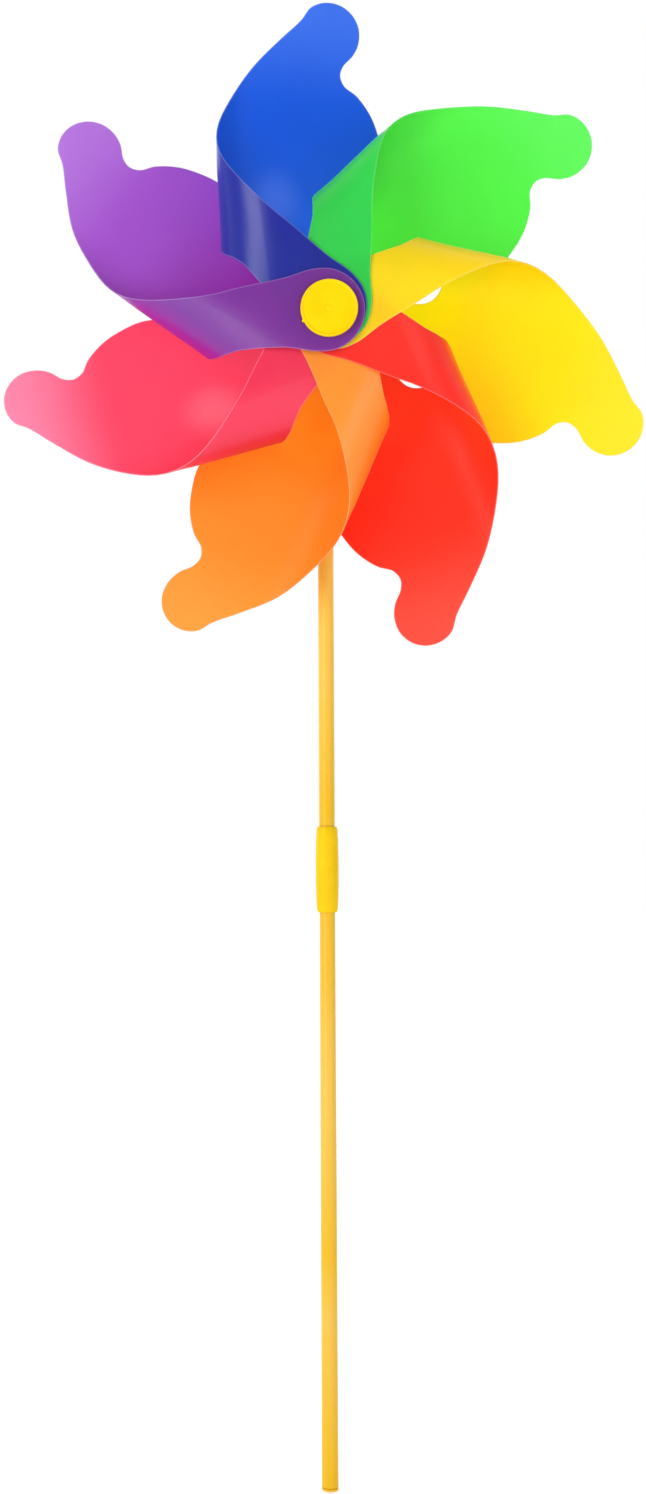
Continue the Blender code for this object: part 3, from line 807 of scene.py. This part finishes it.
class SPINNER_OT_blades(Operator):
    """Makes the seven rolled blades of translucent sheet"""

    bl_idname = "spinner.blades"
    bl_label = "Add Blades"

    def execute(self, context):
        settings = context.scene.spinner_blades
        kinds = (PLAIN_SHEET, *ODD_SHEETS.values())
        sheets = {kind: self.shape_sheet(settings, *kind) for kind in kinds}
        axle_low, axle_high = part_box("axle_pin")
        axis_height = (axle_low.z + axle_high.z) / 2
        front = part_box("blade_violet")[0].y + settings.sheet / 2
        for place, colour_name in enumerate(BLADES):
            name = f"blade_{colour_name}"
            flat, shape, cut, faces = sheets[ODD_SHEETS.get(colour_name, PLAIN_SHEET)]
            turn = math.radians(360 / len(BLADES) * (place - TOP_BLADE) + SEAT_ANGLES[place])
            x, depth, height = shape.T
            turned = np.stack(
                (
                    x * math.cos(turn) + height * math.sin(turn),
                    front + depth + place * (settings.sheet + settings.seat_gap),
                    axis_height - x * math.sin(turn) + height * math.cos(turn),
                ),
                axis=1,
            )
            mesh, first = quad_mesh(f"{name}_sheet", turned, faces)
            layer = mesh.uv_layers.new(name="flat")
            corners = np.empty(len(mesh.loops), np.int32)
            mesh.loops.foreach_get("vertex_index", corners)
            layer.data.foreach_set(
                "uv", (flat[first] / settings.reach)[corners].astype(np.float32).ravel()
            )
            edge = mesh.attributes.new("edge_mm", "FLOAT", "POINT")
            edge.data.foreach_set("value", cut[first].astype(np.float32))
            colour = tuple(getattr(settings, colour_name))
            tones, highlight_tone = SHEET_TONES[colour_name], SHEET_HIGHLIGHTS.get(colour_name)
            material = made_once(f"{name}_sheet", sheet_material, colour, tones, highlight_tone)
            piece = add_piece(
                f"{name}_rolled", mesh, (material,), "wheel", (name,)
            )
            wall = piece.modifiers.new("sheet", "SOLIDIFY")
            wall.thickness = settings.sheet
            wall.offset = 0
            wall.use_even_offset = False
        return {"FINISHED"}

    def shape_sheet(self, settings, rise, fold_change):
        """A blade before it is turned to its seat: flat points, rolled points, edge distances in
        millimetres and faces."""
        flat, columns, rows, hole_to_fold, curve = blade_grid(settings, rise, fold_change)
        shape = rolled(settings, hole_to_fold, flat[:, 0], flat[:, 1])
        return flat, shape, edge_distances(flat, curve) / MM, grid_faces(columns, rows)


class SPINNER_OT_hub(Operator):
    """Makes the cap, the spacer and the collar that carry the blades"""

    bl_idname = "spinner.hub"
    bl_label = "Add Hub"

    def execute(self, context):
        segments = context.scene.spinner_plastic.segments
        material = cap_plastic()
        low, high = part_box("front_cap")
        collar_low, collar_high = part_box("rear_collar")
        middle = (collar_low.x + collar_high.x) / 2
        axis_height = (collar_low.z + collar_high.z) / 2
        centre = (middle, low.y, axis_height)
        radius = high.x - middle
        back = 3.2 * MM
        spigot = high.y - low.y
        dome = 0.35 * MM
        profile = rounded(
            (
                (0, 0.05 * MM),
                (1.5 * MM, 0.05 * MM),
                (1.7 * MM, 0.25 * MM),
                (2.6 * MM, 0.25 * MM),
                (2.8 * MM, 0.1 * MM),
                (radius * 0.6, 0.16 * MM),
                (radius - 2.2 * MM, dome),
                (radius - 1.5 * MM, dome + 0.05 * MM),
                (radius - 1.1 * MM, 0),
                (radius, 0),
                (radius, back),
                (SPIGOT_RADIUS, back),
                (SPIGOT_RADIUS, spigot),
                (SPIGOT_BORE, spigot),
                (SPIGOT_BORE, 9 * MM),
                (0, 9 * MM),
            ),
            0.6 * MM,
        )
        mesh = turned_mesh("front_cap_moulded", profile, segments, centre, (0, 1, 0))
        add_piece("front_cap_moulded", mesh, (material,), "wheel", ("front_cap",))
        nub_angle = math.radians(206)
        nub_centre = (
            middle + radius * math.cos(nub_angle),
            low.y + back / 2,
            axis_height + radius * math.sin(nub_angle),
        )
        ball = np.linspace(-math.pi / 2, math.pi / 2, 13)
        nub = np.stack((0.9 * MM * np.cos(ball), 0.9 * MM * np.sin(ball)), axis=1)
        mesh = turned_mesh("gate_nub", nub, 24, nub_centre, (0, 1, 0))
        add_piece("gate_nub", mesh, (material,), "wheel", ())
        hub = made_once("hub_plastic", moulded_material, tuple(context.scene.spinner_plastic.cap), 0.35)
        low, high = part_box("hub_spacer")
        profile = rounded(
            (
                (SPACER_BORE, 0),
                (SPACER_RADIUS, 0),
                (SPACER_RADIUS, high.y - low.y),
                (SPACER_BORE, high.y - low.y),
                (SPACER_BORE, 0),
            ),
            0.5 * MM,
        )
        centre = (middle, low.y, axis_height)
        mesh = turned_mesh("hub_spacer_tube", profile, segments, centre, (0, 1, 0))
        add_piece("hub_spacer_tube", mesh, (hub,), "wheel", ("hub_spacer",))
        depth = collar_high.y - collar_low.y
        face = depth - 3 * MM
        profile = rounded(
            (
                (SPIGOT_BORE, 0),
                (SPIGOT_RADIUS, 0),
                (SPIGOT_RADIUS, face),
                (15 * MM, face),
                (15 * MM, depth - 1.1 * MM),
                (14 * MM, depth),
                (11.5 * MM, depth),
                (11 * MM, depth - 0.6 * MM),
                (6.5 * MM, depth - 0.6 * MM),
                (6 * MM, depth),
                (SPIGOT_BORE, depth),
                (SPIGOT_BORE, 0),
            ),
            0.5 * MM,
        )
        centre = (middle, collar_low.y, axis_height)
        mesh = turned_mesh("rear_collar_moulded", profile, segments, centre, (0, 1, 0))
        add_piece("rear_collar_moulded", mesh, (hub,), "wheel", ("rear_collar",))
        return {"FINISHED"}


class SPINNER_OT_axle(Operator):
    """Makes the axle pin and the bead, and finishes the small rings inside the hub"""

    bl_idname = "spinner.axle"
    bl_label = "Add Axle"

    def execute(self, context):
        segments = context.scene.spinner_plastic.segments
        low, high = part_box("axle_pin")
        middle = (low.x + high.x) / 2
        height = (low.z + high.z) / 2
        length = high.y - low.y
        head = high.x - middle
        profile = rounded(
            (
                (0, 0),
                (1.4 * MM, 0),
                (2 * MM, 0.8 * MM),
                (2 * MM, length - 2 * MM),
                (head, length - 2 * MM),
                (head, length - 1.3 * MM),
                (head * 0.7, length - 0.25 * MM),
                (0, length),
            ),
            0.5 * MM,
        )
        mesh = turned_mesh("axle_rivet", profile, segments, (middle, low.y, height), (0, 1, 0))
        add_piece("axle_rivet", mesh, (axle_steel(),), "upper_pole", ("axle_pin",))
        low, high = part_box("spacer_bead")
        length = high.y - low.y
        radius = high.x - middle
        across = np.linspace(-1, 1, 15)
        barrel = radius - 0.5 * MM * across**4 - 0.25 * MM * across**2
        heights = length / 2 * (1 + across)
        profile = [(AXLE_BORE, 0), *zip(barrel, heights), (AXLE_BORE, length), (AXLE_BORE, 0)]
        mesh = turned_mesh("spacer_bead_barrel", profile, segments, (middle, low.y, height), (0, 1, 0))
        add_piece(
            "spacer_bead_barrel", mesh, (cap_plastic(),), "upper_pole", ("spacer_bead",)
        )
        for node in ("thrust_washer", "rear_washer"):
            finish_node(node, washer_nylon())
        finish_node("retaining_clip", axle_steel())
        return {"FINISHED"}


def finish_node(node, material):
    """Gives a carried-over CAD node its material."""
    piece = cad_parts[node]
    piece.data.materials.clear()
    piece.data.materials.append(material)


class SPINNER_OT_pole(Operator):
    """Makes the two tubes, the head that carries the axle, the sleeve and the foot plug"""

    bl_idname = "spinner.pole"
    bl_label = "Add Pole"

    def execute(self, context):
        segments = context.scene.spinner_plastic.segments
        tube = pole_plastic()
        up = (0, 0, 1)
        low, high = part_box("upper_pole")
        radius = high.x
        bore = radius - TUBE_WALL
        length = high.z - low.z
        profile = rounded(
            ((radius, 0), (radius, length), (bore, length), (bore, 0), (radius, 0)), 0.25 * MM
        )
        mesh = turned_mesh("upper_tube", profile, segments, (0, 0, low.z), up)
        add_piece("upper_tube", mesh, (tube,), "upper_pole", ("upper_pole",))
        low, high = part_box("lower_pole")
        foot = high.x
        top = 4.45 * MM
        bore = top - TUBE_WALL
        length = high.z - low.z
        profile = rounded(((foot, 0), (top, length), (bore, length), (bore, 0), (foot, 0)), 0.25 * MM)
        mesh = turned_mesh("lower_tube", profile, segments, (0, 0, low.z), up)
        add_piece("lower_tube", mesh, (tube,), "lower_pole", ("lower_pole",))
        low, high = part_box("foot_plug")
        plug = bore - 0.3 * MM
        profile = rounded(
            (
                (0, 0),
                (foot, 0),
                (foot, 1.5 * MM),
                (plug, 1.5 * MM),
                (plug, high.z - low.z),
                (0, high.z - low.z),
            ),
            0.5 * MM,
        )
        mesh = turned_mesh("foot_plug_moulded", profile, segments, (0, 0, low.z), up)
        add_piece("foot_plug_moulded", mesh, (tube,), "lower_pole", ("foot_plug",))
        self.add_sleeve(segments)
        self.add_head(segments)
        return {"FINISHED"}

    def add_sleeve(self, segments):
        """The barrel-shaped sleeve: two tapers and a straight band, a lip at each end and a web."""
        low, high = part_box("joint_sleeve")
        half = (high.z - low.z) / 2
        middle = high.x
        end = 6.05 * MM
        lip = end - 0.3 * MM
        vent = 3.25 * MM
        web = 1 * MM
        band = 8 * MM
        upper = (
            (vent, web),
            (SOCKET_RADIUS, web),
            (SOCKET_RADIUS, half),
            (lip, half),
            (lip, half - 1.2 * MM),
            (end, half - 1.2 * MM),
            ((end + middle) / 2 + 0.12 * MM, (half + band) / 2),
            (middle - 0.06 * MM, band + 0.3 * MM),
            (middle, band),
        )
        lower = [(radius, -height) for radius, height in reversed(upper)]
        profile = rounded((*upper, *lower, upper[0]), 0.3 * MM)
        mesh = turned_mesh(
            "joint_sleeve_moulded", profile, segments, (0, 0, (low.z + high.z) / 2), (0, 0, 1)
        )
        add_piece(
            "joint_sleeve_moulded",
            mesh,
            (sleeve_plastic(),),
            "joint_sleeve",
            ("joint_sleeve",),
        )

    def add_head(self, segments):
        """The head: a socket with a rim, a domed top and a bored boss that faces the wheel."""
        low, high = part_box("pole_head")
        axle_low, axle_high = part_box("axle_pin")
        axis_height = (axle_low.z + axle_high.z) / 2
        radius = high.x
        height = high.z - low.z
        depth = 16 * MM
        profile = rounded(
            (
                (0, depth),
                (SOCKET_RADIUS, depth),
                (SOCKET_RADIUS, 0),
                (radius, 0),
                (radius, 2 * MM),
                (radius - 0.35 * MM, 2.6 * MM),
                (radius - 0.35 * MM, height - 4 * MM),
                (radius - 2.2 * MM, height - 0.7 * MM),
                (0, height),
            ),
            1.6 * MM,
        )
        body = turned_mesh("pole_head_moulded", profile, segments, (0, 0, low.z), (0, 0, 1))
        centre = (0, 0, axis_height)
        front = -low.y
        boss_profile = rounded(((0, 0), (5 * MM, 0), (5 * MM, front), (0, front)), 0.5 * MM)
        boss = turned_mesh("boss", boss_profile, segments, centre, (0, -1, 0))
        far = 20 * MM
        bore_profile = ((0, -far), (AXLE_BORE, -far), (AXLE_BORE, far), (0, far))
        bore = turned_mesh("bore", bore_profile, segments, centre, (0, -1, 0))
        piece = bpy.data.objects.new("pole_head_moulded", body)
        bpy.context.scene.collection.objects.link(piece)
        for operation, tool in (("UNION", boss), ("DIFFERENCE", bore)):
            cutter = bpy.data.objects.new("tool", tool)
            bpy.context.scene.collection.objects.link(cutter)
            modifier = piece.modifiers.new("shape", "BOOLEAN")
            modifier.operation = operation
            modifier.solver = "EXACT"
            modifier.object = cutter
            graph = bpy.context.evaluated_depsgraph_get()
            shaped = bpy.data.meshes.new_from_object(piece.evaluated_get(graph))
            piece.modifiers.clear()
            piece.data = shaped
            bpy.data.objects.remove(cutter)
        shaped.name = "pole_head_moulded"
        shaped.shade_smooth()
        shaped.set_sharp_from_angle(angle=math.radians(SHARP_ANGLE))
        shaped.materials.clear()
        shaped.materials.append(pole_plastic())
        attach(piece, "upper_pole")
        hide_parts("pole_head")


FILL_SHARE = 0.3  # power of the right soft light as a share of the left one's
AIM = (0, 0, 0.62)  # where the soft lights point
FLOOR_RADII = (0, 0.2, 0.6, 1.5, 3.0, 6.0)
FLOOR_DROP = 0.5 * MM  # from the foot down to the floor
FLOOR_GLOW = 0.4
CAMERA_PLACE = (-0.0388, -1.18378, 0.40153)
CAMERA_TURN = (-0.02291, 0.01473, -0.00408)  # yaw, pitch and roll in radians
CAMERA_SHIFT = (0.0736, 0.0111)


class SPINNER_OT_stage(Operator):
    """Makes the pale floor, the soft lights, the white surround and the camera"""

    bl_idname = "spinner.stage"
    bl_label = "Add Studio"

    def execute(self, context):
        settings = context.scene.spinner_stage
        scene = context.scene
        self.add_floor()
        self.add_surround(scene, settings.surround, settings.surround_front)
        lights = (
            ("left_softbox", (-1.2, -1.5, 0.8), (0.9, 1.8), settings.side_light),
            ("right_softbox", (1.3, -1.4, 0.7), (0.9, 1.6), settings.side_light * FILL_SHARE),
        )
        for name, place, size, power in lights:
            lamp = bpy.data.lights.new(name, "AREA")
            lamp.shape = "RECTANGLE"
            lamp.size, lamp.size_y = size
            lamp.energy = power
            obj = bpy.data.objects.new(name, lamp)
            obj.location = place
            obj.rotation_euler = (Vector(AIM) - Vector(place)).to_track_quat("-Z", "Y").to_euler()
            scene.collection.objects.link(obj)
        self.add_camera(scene, settings.lens)
        scene.view_settings.view_transform = "Standard"
        return {"FINISHED"}

    def add_floor(self):
        """A round white floor just below the foot: a flat grid of rings and spokes."""
        radius = np.array(FLOOR_RADII)
        turn = np.linspace(0, 2 * np.pi, 97)
        points = np.stack(
            (
                (radius[None, :] * np.cos(turn)[:, None]).ravel(),
                (radius[None, :] * np.sin(turn)[:, None]).ravel(),
                np.full(radius.size * turn.size, -FLOOR_DROP),
            ),
            axis=1,
        )
        mesh, _ = quad_mesh("floor", points, grid_faces(len(turn), len(radius)))
        material, tree, output = empty_material("floor_paper")
        paper = wire(tree, "ShaderNodeBsdfDiffuse", {"Color": (0.8, 0.8, 0.8, 1.0)})
        glow = wire(tree, "ShaderNodeEmission", {"Color": (1, 1, 1, 1), "Strength": FLOOR_GLOW})
        both = wire(tree, "ShaderNodeAddShader", {0: paper.outputs[0], 1: glow.outputs[0]})
        tree.links.new(both.outputs[0], output.inputs[0])
        mesh.materials.append(material)
        floor = bpy.data.objects.new("floor", mesh)
        bpy.context.scene.collection.objects.link(floor)

    def add_surround(self, scene, behind, in_front):
        """A white surround, seen at full white. It lights the object more from behind the wheel than
        from in front of it, so that the sheets glow."""
        world = bpy.data.worlds.new("surround")
        world.use_nodes = True
        tree = world.node_tree
        tree.nodes.clear()
        output = wire(tree, "ShaderNodeOutputWorld")
        place = wire(tree, "ShaderNodeTexCoord").outputs["Generated"]
        depth = wire(tree, "ShaderNodeSeparateXYZ", {"Vector": place}).outputs["Y"]
        lighting = remap(tree, depth, -0.5, 0.5, in_front, behind)
        seen = wire(tree, "ShaderNodeLightPath").outputs["Is Camera Ray"]
        level = wire(tree, "ShaderNodeMix", data_type="FLOAT")
        tree.links.new(seen, level.inputs[0])
        tree.links.new(lighting, level.inputs[2])
        level.inputs[3].default_value = 1.0
        light = wire(
            tree, "ShaderNodeBackground", {"Color": (1, 1, 1, 1), "Strength": level.outputs[0]}
        )
        tree.links.new(light.outputs[0], output.inputs[0])
        scene.world = world

    def add_camera(self, scene, lens):
        """The camera in front of the wheel, a little left of it and just under its middle height."""
        yaw, pitch, roll = CAMERA_TURN
        forward = Vector(
            (math.sin(yaw) * math.cos(pitch), math.cos(yaw) * math.cos(pitch), math.sin(pitch))
        )
        level_right = Vector((math.cos(yaw), -math.sin(yaw), 0))
        level_up = level_right.cross(forward)
        right = level_right * math.cos(roll) + level_up * math.sin(roll)
        up = level_up * math.cos(roll) - level_right * math.sin(roll)
        data = bpy.data.cameras.new("camera")
        data.sensor_width = 36
        data.lens = lens
        data.shift_x, data.shift_y = CAMERA_SHIFT
        data.clip_start = 0.05
        data.clip_end = 50
        camera = bpy.data.objects.new("camera", data)
        matrix = Matrix((right, up, -forward)).transposed().to_4x4()
        matrix.translation = CAMERA_PLACE
        camera.matrix_world = matrix
        scene.collection.objects.link(camera)
        scene.camera = camera


class SPINNER_PT_panel(Panel):
    """The spinner's sizes, colours and operators, in the 3D view's sidebar"""

    bl_idname = "SPINNER_PT_panel"
    bl_label = "Wind Spinner"
    bl_space_type = "VIEW_3D"
    bl_region_type = "UI"
    bl_category = "Wind Spinner"

    def draw(self, context):
        layout = self.layout
        for group in ("spinner_blades", "spinner_plastic", "spinner_stage"):
            settings = getattr(context.scene, group)
            column = layout.column(align=True)
            for name in settings.bl_rna.properties.keys():
                if name not in ("rna_type", "name"):
                    column.prop(settings, name)
        for operator in OPERATORS:
            layout.operator(operator.bl_idname)


OPERATORS = (SPINNER_OT_blades, SPINNER_OT_hub, SPINNER_OT_axle, SPINNER_OT_pole, SPINNER_OT_stage)
GROUPS = {
    "spinner_blades": BladeSettings,
    "spinner_plastic": PlasticSettings,
    "spinner_stage": StageSettings,
}
CLASSES = (*GROUPS.values(), *OPERATORS, SPINNER_PT_panel)


def register():
    for cls in CLASSES:
        bpy.utils.register_class(cls)
    for name, group in GROUPS.items():
        setattr(bpy.types.Scene, name, PointerProperty(type=group))


def unregister():
    for name in GROUPS:
        delattr(bpy.types.Scene, name)
    for cls in reversed(CLASSES):
        bpy.utils.unregister_class(cls)


def main():
    register()
    bpy.ops.spinner.blades()
    bpy.ops.spinner.hub()
    bpy.ops.spinner.axle()
    bpy.ops.spinner.pole()
    bpy.ops.spinner.stage()


if __name__ == "__main__":
    main()
